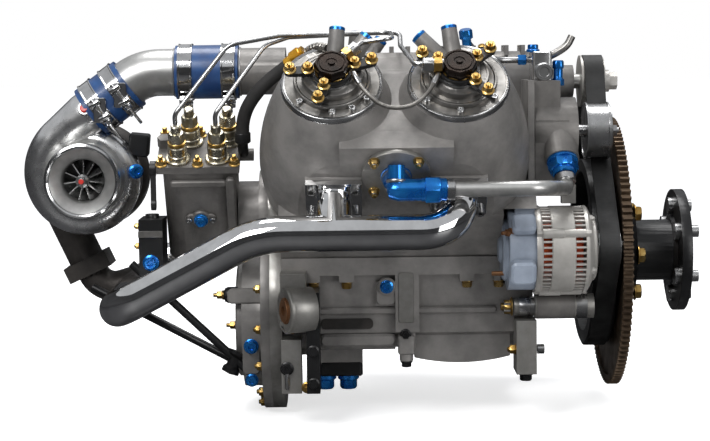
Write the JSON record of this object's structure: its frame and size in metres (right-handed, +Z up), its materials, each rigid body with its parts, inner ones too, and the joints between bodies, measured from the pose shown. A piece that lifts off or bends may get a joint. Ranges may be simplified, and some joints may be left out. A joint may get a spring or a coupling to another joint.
{
  "type": "aircraft engine",
  "caption": "Upright V aircraft diesel engine with propeller flange, starter ring, belt-driven accessories, valley blower and rear turbocharger.",
  "frame": {"origin": "centre of the propeller flange's front face", "axes": "+X along the crank axis towards the propeller, +Z up between the two banks"},
  "size_m": [0.91, 0.5958, 0.5164],
  "materials": {
    "alternator_alloy": "as cast",
    "bearing_bronze": "plain",
    "belt_rubber": "matt",
    "black_steel": "satin black",
    "blue_anodised": "anodised",
    "blue_hose": "glossy silicone",
    "bush_rubber": "matt",
    "cap_plastic": "satin",
    "cast_engine": "as cast, warm grey",
    "chrome_pipe": "bright",
    "cover_plastic": "matt",
    "duct": "satin bright",
    "gearcase": "satin",
    "gold": "plated",
    "iron": "as cast",
    "machined": "machined",
    "pump_casting": "as cast, brown grey",
    "ring_steel": "oiled, brown",
    "winding": "varnished"
  },
  "bodies": {
    "engine": {"alternator_housing": "alternator_alloy", "alternator_mounting": "gearcase", "alternator_rear_cover": "cover_plastic", "alternator_stator": "winding", "blower_housing": "cast_engine", "cap_screws": "machined", "charge_elbow": "duct", "clamp_bolts": "gold", "compressor_housing": "duct", "connecting_rods": "machined", "coolant_fittings": "blue_anodised", "coolant_pipe": "duct", "coolant_plates": "duct", "coupler_clamps": "machined", "cylinder_block": "cast_engine", "cylinder_liners": "iron", "delivery_valves": "machined", "drive_belt": "belt_rubber", "exhaust_collector": "iron", "far_exhaust_pipe": "chrome_pipe", "far_front_head": "cast_engine", "far_rear_head": "cast_engine", "fuel_filter": "pump_casting", "hose_couplers": "blue_hose", "injection_lines": "machined", "injection_pump_body": "pump_casting", "injector_clamps": "black_steel", "injectors": "cap_plastic", "lower_crankcase": "cast_engine", "main_bearings": "bearing_bronze", "mount_brackets": "black_steel", "mount_bushings": "bush_rubber", "mount_plates": "black_steel", "near_exhaust_pipe": "chrome_pipe", "near_front_head": "cast_engine", "near_rear_head": "cast_engine", "piston_pins": "machined", "pistons": "duct", "rear_cover": "cast_engine", "rear_gearcase": "gearcase", "return_hoses": "belt_rubber", "starter_motor": "black_steel", "turbine_housing": "iron", "turbo_bearing_housing": "iron", "turbo_braces": "black_steel", "water_pump_housing": "pump_casting"},
    "crank_train": {"crankshaft": "iron", "crank_pulley": "black_steel", "ring_gear": "ring_steel", "propeller_hub": "black_steel", "hub_bolts": "gold", "drive_lugs": "black_steel"},
    "blower_drive_rotor": {"blower_rotor_upper": "duct", "blower_pulley": "alternator_alloy"},
    "blower_driven_rotor": {"blower_rotor_lower": "duct"},
    "alternator_shaft": {"alternator_rotor": "machined"},
    "water_pump_shaft": {"water_pump_rotor": "machined"},
    "fuel_pump_shaft": {"pump_camshaft": "machined"},
    "turbo_shaft": {"turbo_rotor": "duct"},
    "fuel_control": {"fuel_lever": "cap_plastic"}
  },
  "joints": [
    {"name": "crank_spin", "type": "hinge", "parent": "engine", "child": "crank_train", "pos_m": [0, 0, 0], "axis": [1, 0, 0], "continuous": true, "deforming": ["connecting_rods"]},
    {"name": "blower_upper_spin", "type": "hinge", "parent": "engine", "child": "blower_drive_rotor", "pos_m": [0, 0, 0.232], "axis": [1, 0, 0], "continuous": true},
    {"name": "blower_lower_spin", "type": "hinge", "parent": "engine", "child": "blower_driven_rotor", "pos_m": [0, 0, 0.18], "axis": [1, 0, 0], "continuous": true},
    {"name": "alternator_spin", "type": "hinge", "parent": "engine", "child": "alternator_shaft", "pos_m": [0, -0.155, 0.02], "axis": [1, 0, 0], "continuous": true},
    {"name": "water_pump_spin", "type": "hinge", "parent": "engine", "child": "water_pump_shaft", "pos_m": [0, -0.105, 0.169], "axis": [1, 0, 0], "continuous": true},
    {"name": "fuel_pump_spin", "type": "hinge", "parent": "engine", "child": "fuel_pump_shaft", "pos_m": [0, -0.07, 0.0644], "axis": [1, 0, 0], "continuous": true},
    {"name": "turbo_spin", "type": "hinge", "parent": "engine", "child": "turbo_shaft", "pos_m": [-0.812, 0, 0.108], "axis": [0, 1, 0], "continuous": true},
    {"name": "fuel_lever_hinge", "type": "hinge", "parent": "engine", "child": "fuel_control", "pos_m": [-0.704, -0.128, 0.128], "axis": [1, 0, 0], "range_deg": [-35, 35]}
  ],
  "couplings": [
    {"joint": "blower_upper_spin", "follows": "crank_spin", "ratio": 3.9375},
    {"joint": "blower_lower_spin", "follows": "crank_spin", "ratio": -3.9375},
    {"joint": "alternator_spin", "follows": "crank_spin", "ratio": 5.25},
    {"joint": "water_pump_spin", "follows": "crank_spin", "ratio": -3.6},
    {"joint": "fuel_pump_spin", "follows": "crank_spin", "ratio": -1}
  ]
}
